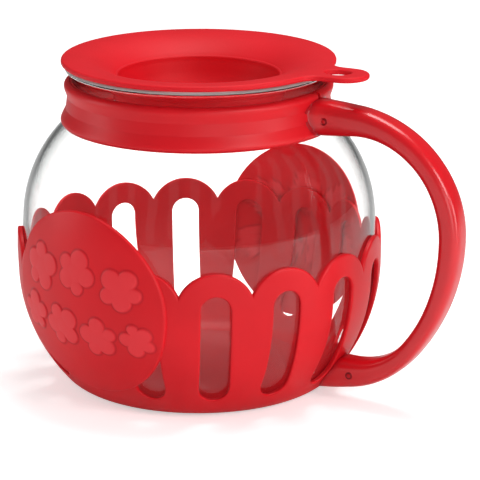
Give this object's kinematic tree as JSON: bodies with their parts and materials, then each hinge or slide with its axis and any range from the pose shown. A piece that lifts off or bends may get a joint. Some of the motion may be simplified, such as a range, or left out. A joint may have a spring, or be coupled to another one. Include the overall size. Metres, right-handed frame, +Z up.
{
  "type": "popcorn maker",
  "caption": "Microwave popcorn maker: round glass jug in a scalloped, slotted plastic basket with a neck collar, C handle, round badges and a lift-off silicone lid with a melting well.",
  "frame": {"origin": "centre of the flat base, on the jug's axis, where it rests on the surface", "axes": "+Z up along the jug's axis, +X from the axis towards the handle"},
  "size_m": [0.2443, 0.195, 0.172],
  "materials": {
    "clear_glass": "clear borosilicate glass, polished",
    "red_silicone": "satin moulded silicone",
    "red_satin_plastic": "satin moulded plastic",
    "red_gloss_plastic": "semi-gloss moulded plastic",
    "red_pin_plastic": "moulded plastic pin",
    "red_badge_plastic": "satin moulded plastic with raised popped kernels"
  },
  "bodies": {
    "jug": {"glass_jug": "clear_glass", "neck_collar": "red_satin_plastic", "lower_basket": "red_satin_plastic", "handle": "red_gloss_plastic", "upper_handle_pin": "red_pin_plastic", "lower_handle_pin": "red_pin_plastic", "front_badge": "red_badge_plastic", "rear_badge": "red_badge_plastic"},
    "lid": {"lid": "red_silicone"}
  },
  "joints": [
    {"name": "lid_lift", "type": "slide", "parent": "jug", "child": "lid", "axis": [0, 0, 1], "range_m": [0, 0.045]}
  ]
}
